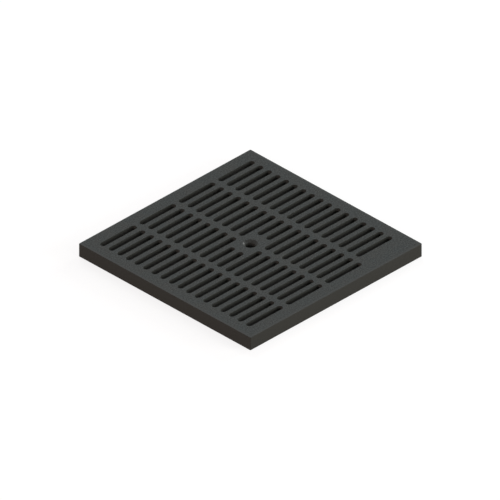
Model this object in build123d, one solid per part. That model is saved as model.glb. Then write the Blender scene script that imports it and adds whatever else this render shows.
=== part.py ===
from build123d import *
from math import cos, radians, sin, tan
import os

# A square cast-iron gully grate, in millimetres. The origin is the middle of the bearing face
# underneath: X runs along the slots, Y across them, and Z up to the tread.

# The plate
side = 400.0
depth = 25.0
corner_round = 2.0
edge_round = 1.0

# The slots: columns of round-ended slots, with bars between the rows and strips between columns
columns = 4
rows = 18
slot_length = 81.2
slot_width = 11.0
bar_width = 9.0
strip_width = 10.3
end_chords = 12

# One slot's place near a corner stays plain, counted from the low-X and the high-Y side
plain_column = 3
plain_row = 17

# Under the tread each bar and strip steps in to a web, which thins towards the bottom
tread_thickness = 5.4
bar_step = 2.0
strip_step = 2.0
web_draft = 1.5

# The lifting hole in the middle, and the wider recess under its land for the key's hook
hole_radius = 8.25
hole_chamfer = 4.25
hole_land = 9.0
recess_step = 4.5

# Slots in the rows beside the hole stop at the plain land round it
land_half_length = 28.2
least_hole_rim = 8.0

# Worked out from the sizes above
column_pitch = slot_length + strip_width
row_pitch = slot_width + bar_width
field_half_width = (rows - 1) / 2 * row_pitch + slot_width / 2
pocket_depth = depth - tread_thickness
pocket_flare = pocket_depth * tan(radians(web_draft))
mouth_radius = hole_radius + hole_chamfer
recess_depth = depth - hole_land
cut_past = 1.0
upwards = (Align.CENTER, Align.CENTER, Align.MIN)


def row_centre(row):
    """Y of a row of slots, counted from the high-Y side."""
    return ((rows - 1) / 2 - row) * row_pitch


def slot_ends(column, row):
    """Low and high X of one slot, which stops short where it would run into the hole's land."""
    middle = (column - (columns - 1) / 2) * column_pitch
    low = middle - slot_length / 2
    high = middle + slot_length / 2
    beside_hole = abs(row_centre(row)) - slot_width / 2 < mouth_radius + least_hole_rim
    if beside_hole and middle < 0:
        high = min(high, -land_half_length)
    if beside_hole and middle > 0:
        low = max(low, land_half_length)
    return low, high


def all_places():
    """Every place in the pattern of slots, as column and row."""
    return [(column, row) for column in range(columns) for row in range(rows)]


def plate():
    """The square block with rounded corners and rounded edges round its tread."""
    block = extrude(RectangleRounded(side, side, corner_round), depth)
    return fillet(block.faces().sort_by(Axis.Z)[-1].edges(), edge_round)


def lifting_hole():
    """The hole through the tread, chamfered at its mouth, and the recess that widens under it."""
    hole = Pos(0, 0, recess_depth) * Cylinder(hole_radius, hole_land + cut_past, align=upwards)
    funnel = Cone(hole_radius, mouth_radius + cut_past, hole_chamfer + cut_past, align=upwards)
    mouth = Pos(0, 0, depth - hole_chamfer) * funnel
    recess = Cylinder(hole_radius + recess_step, recess_depth, align=upwards)
    return hole + mouth + recess


def slot_outline(length, width):
    """A slot with full-round ends, each drawn with a few chords so that the pattern stays light."""
    radius = width / 2
    reach = length / 2 - radius
    turns = [radians(180 * step / end_chords - 90) for step in range(end_chords + 1)]
    right_end = [(reach + radius * cos(turn), radius * sin(turn)) for turn in turns]
    left_end = [(-x, -y) for x, y in right_end]
    return make_face(Polyline(*right_end, *left_end, close=True))


def slot(column, row):
    """One slot through the tread."""
    low, high = slot_ends(column, row)
    outline = slot_outline(high - low, slot_width)
    middle = Pos((low + high) / 2, row_centre(row), pocket_depth)
    return middle * extrude(outline, tread_thickness + cut_past)


def pocket(column, row):
    """The wider, drafted pocket under one slot, flush with the slot along the rim."""
    low, high = slot_ends(column, row)
    half_width = slot_width / 2 + bar_step
    near = max(row_centre(row) - half_width, -field_half_width)
    far = min(row_centre(row) + half_width, field_half_width)
    length = high - low + 2 * (strip_step + pocket_flare)
    width = far - near + 2 * pocket_flare
    middle = Pos((low + high) / 2, (near + far) / 2, 0)
    return middle * extrude(Rectangle(length, width), pocket_depth, taper=web_draft)


def grate():
    """The whole casting."""
    pierced = [place for place in all_places() if place != (plain_column, plain_row)]
    casting = plate() - lifting_hole()
    casting = casting - [pocket(column, row) for column, row in all_places()]
    return casting - [slot(column, row) for column, row in pierced]


casting = grate()
casting.label = "grate"
os.makedirs("parts", exist_ok=True)
export_step(casting, "parts/grate.step")
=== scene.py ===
import math

import bmesh
import bpy
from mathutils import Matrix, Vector
from mathutils.geometry import delaunay_2d_cdt


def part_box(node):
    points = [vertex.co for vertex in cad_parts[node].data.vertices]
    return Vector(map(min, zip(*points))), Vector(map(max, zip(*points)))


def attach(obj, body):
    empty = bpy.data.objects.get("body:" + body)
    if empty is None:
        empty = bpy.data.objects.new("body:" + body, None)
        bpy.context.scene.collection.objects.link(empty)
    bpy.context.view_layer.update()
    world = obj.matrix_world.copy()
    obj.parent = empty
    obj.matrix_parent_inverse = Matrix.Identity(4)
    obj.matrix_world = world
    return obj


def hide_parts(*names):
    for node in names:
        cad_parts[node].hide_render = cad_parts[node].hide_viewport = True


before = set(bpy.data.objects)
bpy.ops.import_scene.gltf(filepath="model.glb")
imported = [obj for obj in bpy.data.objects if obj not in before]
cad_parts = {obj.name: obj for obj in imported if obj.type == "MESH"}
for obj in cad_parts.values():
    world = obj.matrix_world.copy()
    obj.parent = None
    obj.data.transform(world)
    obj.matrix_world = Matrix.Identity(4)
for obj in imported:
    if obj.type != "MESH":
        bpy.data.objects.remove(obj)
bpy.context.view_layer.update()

# A square cast-iron gully grate in metres. X runs along the slots, Y across them, and Z up to the tread.
MM = 0.001

# The plate, with its place read from the frame
HIGH_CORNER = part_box("grate")[1]
TREAD = HIGH_CORNER.z
HALF_SIDE = HIGH_CORNER.x
CORNER_ROUND = 2.0 * MM
EDGE_ROUND = 1.0 * MM
BASE_ROUND = 0.4 * MM

# The slots. One place stays plain, counted from the low-X and the high-Y side.
COLUMNS = 4
ROWS = 18
SLOT_LENGTH = 81.2 * MM
SLOT_WIDTH = 11.0 * MM
BAR_WIDTH = 9.0 * MM
STRIP_WIDTH = 10.3 * MM
PLAIN_PLACE = (3, 17)
MOUTH_ROUND = 0.2 * MM

# Under the tread
TREAD_THICKNESS = 5.4 * MM
BAR_STEP = 2.0 * MM
STRIP_STEP = 2.0 * MM
WEB_DRAFT = math.radians(1.5)
POCKET_CORNER = 2.5 * MM
CEILING_FILLET = 1.2 * MM
LIP_ROUND = 0.5 * MM

# The lifting hole, and the plain land that keeps the slots beside it short
HOLE_RADIUS = 8.25 * MM
HOLE_CHAMFER = 4.25 * MM
HOLE_ROUND = 0.3 * MM
HOLE_LAND = 9.0 * MM
RECESS_STEP = 4.5 * MM
LAND_HALF_LENGTH = 28.2 * MM
LEAST_HOLE_RIM = 8.0 * MM

# How finely curves are divided, and how near two points are one
CORNER_STEPS = 8
ROUND_STEPS = 4
HOLE_STEPS = 24
SAME_POINT = 0.001 * MM

# The coated iron: its colours, and how much its dots and grain lighten and darken them. The tread's
# colours are cooler and lighter than the others, which is painted cool light from above.
TREAD_COOL = (0.0393, 0.0457, 0.0452)
TREAD_WARM = (0.0426, 0.0463, 0.0444)
# The lighter colour of the tread's border is a painted highlight
BORDER_HIGHLIGHT_COLOUR = (0.0473, 0.0517, 0.0503)
SIDE_COLOUR = (0.0357, 0.0347, 0.0299)
WALL_COLOUR = (0.0341, 0.0346, 0.0305)
DOT_SHADE = 0.52
GRAIN_SHADE = 0.06

# The scales of its patterns in features per metre, and the values of their noise from least to most
MOTTLE_SCALE = 40.0
MOTTLE_RANGE = (0.35, 0.65)
DOT_SCALE = 400.0
DOT_RANGE = (0.32, 0.68)
GRAIN_SCALE = 1100.0
GRAIN_RANGE = (0.3, 0.7)

# The Z of a face's direction from where it starts to look like the tread, with its painted cool light
# from above, to where it fully does
TREAD_FACING = (0.50, 0.90)

# The border along three sides of its tread, where its lighter colour is a painted highlight and it has
# fewer dots, and the share of the dots that stays there
BORDER_WIDTH = 4.3 * MM
BORDER_BLEND = 0.3 * MM
BORDER_DOTS = 0.3

# Its sheen and roughness. Chamfers and rounded edges are smoother by the last value.
SHEEN = 0.06
ROUGHNESS = (0.50, 0.66)
ROUGHNESS_RANGE = (0.3, 0.7)
EDGE_SMOOTHING = 0.21

# The studio: an even light from all round, square lamps, and a floor just under the bearing face
SURROUND = 0.15
LAMP_SIZE = 1.8
LAMP_DISTANCE = 4.0
FLOOR_HALF_SIDE = 6.0
FLOOR_GAP = 0.05 * MM
FLOOR_COLOUR = (0.35, 0.345, 0.335)
FLOOR_SHOWN_COLOUR = (0.25, 0.25, 0.25)
FLOOR_GLOW = 0.80
WHITE = (1.0, 1.0, 1.0)

# The camera, and where the middle of the tread lies in the photograph's pixels
CAMERA_AZIMUTH = -135.0
CAMERA_ELEVATION = 33.3
CAMERA_DISTANCE = 2.0
FRAME_PIXELS = 500
PIXELS_PER_METRE = 0.6075 / MM
TREAD_MIDDLE = (250.4, 243.5)

# Worked out from the sizes above
COLUMN_PITCH = SLOT_LENGTH + STRIP_WIDTH
ROW_PITCH = SLOT_WIDTH + BAR_WIDTH
FIELD_HALF_WIDTH = (ROWS - 1) / 2 * ROW_PITCH + SLOT_WIDTH / 2
CEILING = TREAD - TREAD_THICKNESS
MOUTH_RADIUS = HOLE_RADIUS + HOLE_CHAMFER

# Places of a Mix node's colour sockets, which share their names with its other sockets
MIX_FIRST = 6
MIX_SECOND = 7
MIX_RESULT = 2


def quarter_turn(steps):
    """Angles from 0 to a quarter turn."""
    return [math.pi / 2 * step / steps for step in range(steps + 1)]


def rounding(radius, steps=ROUND_STEPS):
    """Steps of a quarter round: what is left to go one way, and how far it has come the other way."""
    turns = quarter_turn(steps)
    return [(radius * (1 - math.sin(turn)), radius * (1 - math.cos(turn))) for turn in turns]


def rounded_box(low, high, radius, z, steps=CORNER_STEPS):
    """A closed ring of points round a rounded rectangle, anticlockwise from its low-Y, high-X corner."""
    corners = [
        (high[0] - radius, low[1] + radius, -math.pi / 2),
        (high[0] - radius, high[1] - radius, 0.0),
        (low[0] + radius, high[1] - radius, math.pi / 2),
        (low[0] + radius, low[1] + radius, math.pi),
    ]
    ring = []
    for x, y, start in corners:
        for turn in quarter_turn(steps):
            angle = start + turn
            ring.append(Vector((x + radius * math.cos(angle), y + radius * math.sin(angle), z)))
    return ring


def circle(radius, z):
    """A closed ring of points round the lifting hole."""
    return rounded_box((-radius, -radius), (radius, radius), radius, z, HOLE_STEPS)


def row_centre(row):
    """Y of a row of slots, counted from the high-Y side."""
    return ((ROWS - 1) / 2 - row) * ROW_PITCH


def slot_ends(column, row):
    """Low and high X of one slot, which stops short where it would run into the hole's land."""
    middle = (column - (COLUMNS - 1) / 2) * COLUMN_PITCH
    low = middle - SLOT_LENGTH / 2
    high = middle + SLOT_LENGTH / 2
    if abs(row_centre(row)) - SLOT_WIDTH / 2 < MOUTH_RADIUS + LEAST_HOLE_RIM:
        if middle < 0:
            high = min(high, -LAND_HALF_LENGTH)
        else:
            low = max(low, LAND_HALF_LENGTH)
    return low, high


def slot_rings(column, row):
    """Rings down a slot's wall, from its rounded mouth to the lip under the tread."""
    low, high = slot_ends(column, row)
    near = row_centre(row) - SLOT_WIDTH / 2
    far = row_centre(row) + SLOT_WIDTH / 2
    flush_near = near - BAR_STEP < -FIELD_HALF_WIDTH
    flush_far = far + BAR_STEP > FIELD_HALF_WIDTH
    rings = []

    def ring(grow_near, grow_far, grow_ends, z):
        """The slot's outline, grown by an amount on each side."""
        radius = SLOT_WIDTH / 2 + min(grow_near, grow_far, grow_ends)
        box_low = (low - grow_ends, near - grow_near)
        box_high = (high + grow_ends, far + grow_far)
        rings.append(rounded_box(box_low, box_high, radius, z))

    for out, down in rounding(MOUTH_ROUND):
        ring(out, out, out, TREAD - down)
    for up, out in rounding(LIP_ROUND):
        ring(0 if flush_near else out, 0 if flush_far else out, out, CEILING + up)
    return rings


def pocket_rings(column, row):
    """Rings down the wider pocket under a slot, from its ceiling to the bearing face."""
    low, high = slot_ends(column, row)
    near = max(row_centre(row) - SLOT_WIDTH / 2 - BAR_STEP, -FIELD_HALF_WIDTH)
    far = min(row_centre(row) + SLOT_WIDTH / 2 + BAR_STEP, FIELD_HALF_WIDTH)
    flush_near = near <= -FIELD_HALF_WIDTH
    flush_far = far >= FIELD_HALF_WIDTH
    rings = []

    def ring(grow, z, fillet=0.0):
        """The pocket's outline at a height, grown on all sides and drawn in by its ceiling fillet."""
        in_near = 0 if flush_near else fillet
        in_far = 0 if flush_far else fillet
        box_low = (low - STRIP_STEP - grow + fillet, near - grow + in_near)
        box_high = (high + STRIP_STEP + grow - fillet, far + grow - in_far)
        rings.append(rounded_box(box_low, box_high, POCKET_CORNER + grow - fillet, z))

    def flare(z):
        """How much the draft has widened the pocket at a height."""
        return (CEILING - z) * math.tan(WEB_DRAFT)

    for inwards, down in rounding(CEILING_FILLET):
        ring(flare(CEILING - down), CEILING - down, inwards)
    for up, out in rounding(BASE_ROUND):
        ring(flare(up) + out, up)
    return rings


def hole_rings():
    """Rings down the lifting hole, from its rounded rim past its lip and the wider recess under it."""
    land_bottom = TREAD - HOLE_LAND
    chamfer_bottom = TREAD - HOLE_CHAMFER
    recess_radius = HOLE_RADIUS + RECESS_STEP
    rim_shares = (0.0, 0.4, 1.0)
    rings = []
    for share in rim_shares:
        rings.append(circle(MOUTH_RADIUS + HOLE_ROUND * (1 - share), TREAD - HOLE_ROUND * share * share))
    rings.append(circle(HOLE_RADIUS + HOLE_ROUND, chamfer_bottom + HOLE_ROUND))
    rings.append(circle(HOLE_RADIUS, chamfer_bottom - HOLE_ROUND))
    for up, out in rounding(LIP_ROUND):
        rings.append(circle(HOLE_RADIUS + out, land_bottom + up))
    for inwards, down in rounding(CEILING_FILLET):
        rings.append(circle(recess_radius - inwards, land_bottom - down))
    for up, out in rounding(BASE_ROUND):
        rings.append(circle(recess_radius + out, up))
    return rings


def outer_rings():
    """Rings down the outside of the plate, from its rounded tread edge to its base."""
    rings = []

    def ring(inset, z):
        """The plate's outline at a height, drawn in on all sides."""
        reach = HALF_SIDE - inset
        rings.append(rounded_box((-reach, -reach), (reach, reach), CORNER_ROUND - inset, z))

    for inset, down in rounding(EDGE_ROUND, 2 * ROUND_STEPS):
        ring(inset, TREAD - down)
    for up, inset in rounding(BASE_ROUND):
        ring(inset, up)
    return rings


class Casting:
    """Collects the rings and faces of the casting as one closed mesh."""

    def __init__(self):
        self.points = []
        self.faces = []

    def add_ring(self, ring):
        """Adds a ring's points, and returns their numbers."""
        start = len(self.points)
        self.points.extend(ring)
        return list(range(start, start + len(ring)))

    def wall(self, rings):
        """Bridges rings from the tread down, and returns the first and last as point numbers."""
        numbered = [self.add_ring(ring) for ring in rings]
        for upper, lower in zip(numbered, numbered[1:]):
            count = len(upper)
            for i in range(count):
                j = (i + 1) % count
                self.faces.append((upper[i], upper[j], lower[j], lower[i]))
        return numbered[0], numbered[-1]

    def flat(self, loops):
        """Fills a flat face between an outer ring and the rings of its openings with even triangles."""
        numbers = []
        edges = []
        for loop in loops:
            start = len(numbers)
            count = len(loop)
            numbers.extend(loop)
            edges.extend((start + i, start + (i + 1) % count) for i in range(count))
        corners = [self.points[number].to_2d() for number in numbers]
        outer = list(range(len(loops[0])))
        without_openings = 2
        tolerance = SAME_POINT / 10
        filled = delaunay_2d_cdt(corners, edges, [outer], without_openings, tolerance)
        triangles, sources = filled[2], filled[3]
        self.faces.extend(tuple(numbers[sources[i][0]] for i in triangle) for triangle in triangles)

    def cap(self, loop):
        """Closes one ring with a single flat face."""
        self.faces.append(tuple(loop))

    def to_object(self, name):
        """Makes the mesh from what was collected, with its faces turned outwards."""
        mesh = bpy.data.meshes.new(name)
        mesh.from_pydata(self.points, [], self.faces)
        shape = bmesh.new()
        shape.from_mesh(mesh)
        bmesh.ops.remove_doubles(shape, verts=shape.verts, dist=SAME_POINT)
        bmesh.ops.dissolve_degenerate(shape, edges=shape.edges, dist=SAME_POINT)
        bmesh.ops.recalc_face_normals(shape, faces=shape.faces)
        shape.to_mesh(mesh)
        shape.free()
        piece = bpy.data.objects.new(name, mesh)
        bpy.context.scene.collection.objects.link(piece)
        return piece


def build_casting():
    """The whole grate as one closed mesh with every edge rounded."""
    casting = Casting()
    top, bottom = casting.wall(outer_rings())
    tread_loops = [top]
    base_loops = [bottom]
    for column in range(COLUMNS):
        for row in range(ROWS):
            pocket_walls = pocket_rings(column, row)
            if (column, row) == PLAIN_PLACE:
                ceiling, base = casting.wall(pocket_walls)
                casting.cap(ceiling)
            else:
                mouth, base = casting.wall(slot_rings(column, row) + pocket_walls)
                tread_loops.append(mouth)
            base_loops.append(base)
    mouth, base = casting.wall(hole_rings())
    casting.flat(tread_loops + [mouth])
    casting.flat(base_loops + [base])
    return casting.to_object("grate_casting")


def smooth(piece):
    """Shades the roundings smooth and keeps the flat faces flat."""
    sharp_angle = math.radians(40)
    favour_large_faces = 100
    bpy.context.view_layer.objects.active = piece
    piece.select_set(True)
    bpy.ops.object.shade_smooth_by_angle(angle=sharp_angle)
    weighted = piece.modifiers.new("flat faces", "WEIGHTED_NORMAL")
    weighted.keep_sharp = True
    weighted.weight = favour_large_faces
    bpy.ops.object.modifier_apply(modifier=weighted.name)
    piece.select_set(False)


def link(tree, source, output, target, socket):
    """Joins an output of one node to a socket of another, each given by name or number."""
    tree.links.new(source.outputs[output], target.inputs[socket])


def separate(tree, source, output):
    """The X, Y and Z of a position or a direction."""
    node = tree.nodes.new("ShaderNodeSeparateXYZ")
    link(tree, source, output, node, "Vector")
    return node


def noise(tree, coordinates, scale, detail, roughness=0.6):
    """Noise over object coordinates, its scale in features per metre."""
    node = tree.nodes.new("ShaderNodeTexNoise")
    node.inputs["Scale"].default_value = scale
    node.inputs["Detail"].default_value = detail
    node.inputs["Roughness"].default_value = roughness
    link(tree, coordinates, "Object", node, "Vector")
    return node


def map_range(tree, source, output, low, high, to_low, to_high):
    """Turns one range of a node's output into another, and stops at its ends."""
    node = tree.nodes.new("ShaderNodeMapRange")
    node.inputs["From Min"].default_value = low
    node.inputs["From Max"].default_value = high
    node.inputs["To Min"].default_value = to_low
    node.inputs["To Max"].default_value = to_high
    link(tree, source, output, node, "Value")
    return node


def calculate(tree, operation, source, output, other=None):
    """A sum on one node's output, with a plain value or another node as the second number."""
    node = tree.nodes.new("ShaderNodeMath")
    node.operation = operation
    link(tree, source, output, node, 0)
    if isinstance(other, float):
        node.inputs[1].default_value = other
    elif other:
        link(tree, other, 0, node, 1)
    return node


def mix_colour(tree, factor, first, second):
    """Mixes two colours by the factor node. Each colour is a node or a plain value."""
    node = tree.nodes.new("ShaderNodeMix")
    node.data_type = "RGBA"
    link(tree, factor, 0, node, 0)
    for socket, colour in ((MIX_FIRST, first), (MIX_SECOND, second)):
        if isinstance(colour, tuple):
            node.inputs[socket].default_value = (*colour, 1.0)
        else:
            link(tree, colour, MIX_RESULT, node, socket)
    return node


def scale_colour(tree, colour, factor):
    """Makes a mixed colour lighter or darker by the factor node."""
    node = tree.nodes.new("ShaderNodeVectorMath")
    node.operation = "SCALE"
    link(tree, colour, MIX_RESULT, node, 0)
    link(tree, factor, 0, node, "Scale")
    return node


def bump(tree, height, distance, strength, before=None):
    """Bumps from a height node, on top of the bumps made before."""
    node = tree.nodes.new("ShaderNodeBump")
    node.inputs["Distance"].default_value = distance
    node.inputs["Strength"].default_value = strength
    link(tree, height, 0, node, "Height")
    if before:
        link(tree, before, "Normal", node, "Normal")
    return node


def edge_share(tree, outward):
    """One where the outward distance lies within the border's width of the plate's side, or else none."""
    inside = HALF_SIDE - BORDER_WIDTH
    return map_range(tree, outward, 0, inside - BORDER_BLEND, inside + BORDER_BLEND, 0.0, 1.0)


def highlit_border_and_outside(tree, position):
    """Shares of the tread's border, which carries a painted highlight and which the high-Y side lacks,
    and of the plate's outside all round.
    """
    across = calculate(tree, "ABSOLUTE", position, "X")
    towards_low_y = calculate(tree, "MULTIPLY", position, "Y", -1.0)
    either_y = calculate(tree, "ABSOLUTE", position, "Y")
    highlit_border = edge_share(tree, calculate(tree, "MAXIMUM", across, 0, towards_low_y))
    outside = edge_share(tree, calculate(tree, "MAXIMUM", across, 0, either_y))
    return highlit_border, outside


def iron_colour(tree, upward, highlit_border, outside, mottle):
    """Mottled on the tread, with a painted highlight that makes its border lighter. The tread's cooler,
    lighter colour is painted cool light from above; other faces are warmer, most of all outside.
    """
    mottle_share = map_range(tree, mottle, 0, *MOTTLE_RANGE, 0.0, 1.0)
    mottled = mix_colour(tree, mottle_share, TREAD_COOL, TREAD_WARM)
    # The border is made lighter by a painted highlight
    tread_colour = mix_colour(tree, highlit_border, mottled, BORDER_HIGHLIGHT_COLOUR)
    other_colour = mix_colour(tree, outside, WALL_COLOUR, SIDE_COLOUR)
    # Faces that look up take the tread's cooler, lighter colour, which is painted cool light from above
    return mix_colour(tree, upward, other_colour, tread_colour)


def iron_shade(tree, dots, dotted, grain):
    """What the dots and the grain multiply the colour by."""
    dot_share = map_range(tree, dots, 0, *DOT_RANGE, -1.0, 1.0)
    dot_share = calculate(tree, "MULTIPLY", dot_share, 0, dotted)
    dot_shade = map_range(tree, dot_share, 0, -1.0, 1.0, 1.0 - DOT_SHADE, 1.0 + DOT_SHADE)
    grain_shade = map_range(tree, grain, 0, *GRAIN_RANGE, 1.0 - GRAIN_SHADE, 1.0 + GRAIN_SHADE)
    return calculate(tree, "MULTIPLY", dot_shade, 0, grain_shade)


def iron_roughness(tree, facing, dots):
    """Roughness that varies with the dots, and is less where a face leans by about 45 degrees."""
    # The Z of such a face's direction, and how far from it a face is still rubbed, or no longer
    leaning_z = 0.7
    still_rubbed = 0.1
    not_rubbed = 0.25
    away = calculate(tree, "SUBTRACT", facing, "Z", leaning_z)
    away = calculate(tree, "ABSOLUTE", away, 0)
    rubbed = map_range(tree, away, 0, still_rubbed, not_rubbed, EDGE_SMOOTHING, 0.0)
    roughness = map_range(tree, dots, 0, *ROUGHNESS_RANGE, *ROUGHNESS)
    return calculate(tree, "SUBTRACT", roughness, 0, rubbed)


def iron_material():
    """Dark coated cast iron, finely dotted on the tread, with painted cool light from above on faces that
    look up and a warmer colour on other faces.
    """
    material = bpy.data.materials.new("coated_cast_iron")
    material.use_nodes = True
    tree = material.node_tree
    shader = tree.nodes["Principled BSDF"]
    shader.inputs["Specular IOR Level"].default_value = SHEEN

    coordinates = tree.nodes.new("ShaderNodeTexCoord")
    position = separate(tree, coordinates, "Object")
    facing = separate(tree, coordinates, "Normal")
    upward = map_range(tree, facing, "Z", *TREAD_FACING, 0.0, 1.0)
    highlit_border, outside = highlit_border_and_outside(tree, position)
    mottle = noise(tree, coordinates, MOTTLE_SCALE, detail=4.0)
    dots = noise(tree, coordinates, DOT_SCALE, detail=2.0, roughness=0.5)
    grain = noise(tree, coordinates, GRAIN_SCALE, detail=3.0)
    dotted = map_range(tree, highlit_border, 0, 0.0, 1.0, 1.0, BORDER_DOTS)
    dotted = calculate(tree, "MULTIPLY", dotted, 0, upward)

    colour = iron_colour(tree, upward, highlit_border, outside, mottle)
    colour = scale_colour(tree, colour, iron_shade(tree, dots, dotted, grain))
    link(tree, colour, 0, shader, "Base Color")
    link(tree, iron_roughness(tree, facing, dots), 0, shader, "Roughness")

    waves = bump(tree, mottle, distance=0.3 * MM, strength=0.3)
    dot_height = calculate(tree, "MULTIPLY", dots, 0, dotted)
    dimples = bump(tree, dot_height, distance=0.2 * MM, strength=0.35, before=waves)
    specks = bump(tree, grain, distance=0.05 * MM, strength=0.4, before=dimples)
    link(tree, specks, "Normal", shader, "Normal")
    return material


def shown_rays(tree):
    """One for rays that see the surround itself, straight, mirrored or through glass, or else none."""
    paths = tree.nodes.new("ShaderNodeLightPath")
    shown = 0.0
    for kind in ("Is Camera Ray", "Is Glossy Ray", "Is Transmission Ray"):
        shown = calculate(tree, "MAXIMUM", paths, kind, shown)
    return shown


def diffuse(tree, colour):
    """A plain matt shader."""
    node = tree.nodes.new("ShaderNodeBsdfDiffuse")
    node.inputs["Color"].default_value = (*colour, 1.0)
    return node


def floor_material():
    """A pale floor that shows white where it is seen and keeps the soft shadow."""
    material = bpy.data.materials.new("floor")
    material.use_nodes = True
    tree = material.node_tree
    tree.nodes.clear()
    output = tree.nodes.new("ShaderNodeOutputMaterial")
    glow = tree.nodes.new("ShaderNodeEmission")
    glow.inputs["Color"].default_value = (*WHITE, 1.0)
    glow.inputs["Strength"].default_value = FLOOR_GLOW
    shown = tree.nodes.new("ShaderNodeAddShader")
    link(tree, diffuse(tree, FLOOR_SHOWN_COLOUR), 0, shown, 0)
    link(tree, glow, 0, shown, 1)
    choice = tree.nodes.new("ShaderNodeMixShader")
    link(tree, shown_rays(tree), 0, choice, 0)
    link(tree, diffuse(tree, FLOOR_COLOUR), 0, choice, 1)
    link(tree, shown, 0, choice, 2)
    link(tree, choice, 0, output, "Surface")
    return material


def add_floor():
    """A wide floor a hair under the bearing face, so that no two faces share one plane."""
    reach = FLOOR_HALF_SIDE
    z = -FLOOR_GAP
    mesh = bpy.data.meshes.new("floor")
    corners = [(-reach, -reach, z), (reach, -reach, z), (reach, reach, z), (-reach, reach, z)]
    mesh.from_pydata(corners, [], [(0, 1, 2, 3)])
    mesh.materials.append(floor_material())
    floor = bpy.data.objects.new("floor", mesh)
    bpy.context.scene.collection.objects.link(floor)


def add_world():
    """A dim even surround that lights the object, and plain white where it is seen."""
    world = bpy.data.worlds.new("studio")
    bpy.context.scene.world = world
    world.use_nodes = True
    tree = world.node_tree
    background = tree.nodes["Background"]
    background.inputs["Color"].default_value = (*WHITE, 1.0)
    strength = map_range(tree, shown_rays(tree), 0, 0.0, 1.0, SURROUND, 1.0)
    link(tree, strength, 0, background, "Strength")


def direction(azimuth, elevation):
    """The direction to an azimuth and an elevation, both given in degrees."""
    azimuth = math.radians(azimuth)
    elevation = math.radians(elevation)
    return Vector((
        math.cos(azimuth) * math.cos(elevation),
        math.sin(azimuth) * math.cos(elevation),
        math.sin(elevation),
    ))


def add_lamp(name, azimuth, elevation, power, colour=WHITE):
    """A wide square lamp, aimed at the grate from a direction given in degrees."""
    towards = direction(azimuth, elevation)
    data = bpy.data.lights.new(name, "AREA")
    data.shape = "SQUARE"
    data.size = LAMP_SIZE
    data.energy = power
    data.color = colour
    lamp = bpy.data.objects.new(name, data)
    lamp.location = towards * LAMP_DISTANCE
    lamp.rotation_euler = towards.to_track_quat("Z", "Y").to_euler()
    bpy.context.scene.collection.objects.link(lamp)


def add_camera():
    """An orthographic camera at the photograph's angle, with the tread's middle at its place there."""
    towards = direction(CAMERA_AZIMUTH, CAMERA_ELEVATION)
    rotation = towards.to_track_quat("Z", "Y")
    right = rotation @ Vector((1, 0, 0))
    up = rotation @ Vector((0, 1, 0))
    aside = (FRAME_PIXELS / 2 - TREAD_MIDDLE[0]) / PIXELS_PER_METRE
    below = (FRAME_PIXELS / 2 - TREAD_MIDDLE[1]) / PIXELS_PER_METRE
    aim = Vector((0, 0, TREAD)) + right * aside - up * below
    data = bpy.data.cameras.new("camera")
    data.type = "ORTHO"
    data.ortho_scale = FRAME_PIXELS / PIXELS_PER_METRE
    camera = bpy.data.objects.new("camera", data)
    camera.location = aim + towards * CAMERA_DISTANCE
    camera.rotation_euler = rotation.to_euler()
    bpy.context.scene.collection.objects.link(camera)
    bpy.context.scene.camera = camera


casting = build_casting()
smooth(casting)
casting.data.materials.append(iron_material())
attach(casting, "root")
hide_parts("grate")

add_floor()
add_world()
add_lamp("right", azimuth=0, elevation=15, power=98.0)
add_lamp("front_right_low", azimuth=-60, elevation=15, power=110.0)
add_lamp("front_right_high", azimuth=-90, elevation=35, power=26.0)
add_lamp("left", azimuth=180, elevation=25, power=79.0, colour=(1.0, 0.81, 0.79))
add_lamp("back", azimuth=60, elevation=40, power=51.0)
add_camera()
bpy.context.scene.view_settings.view_transform = "Standard"
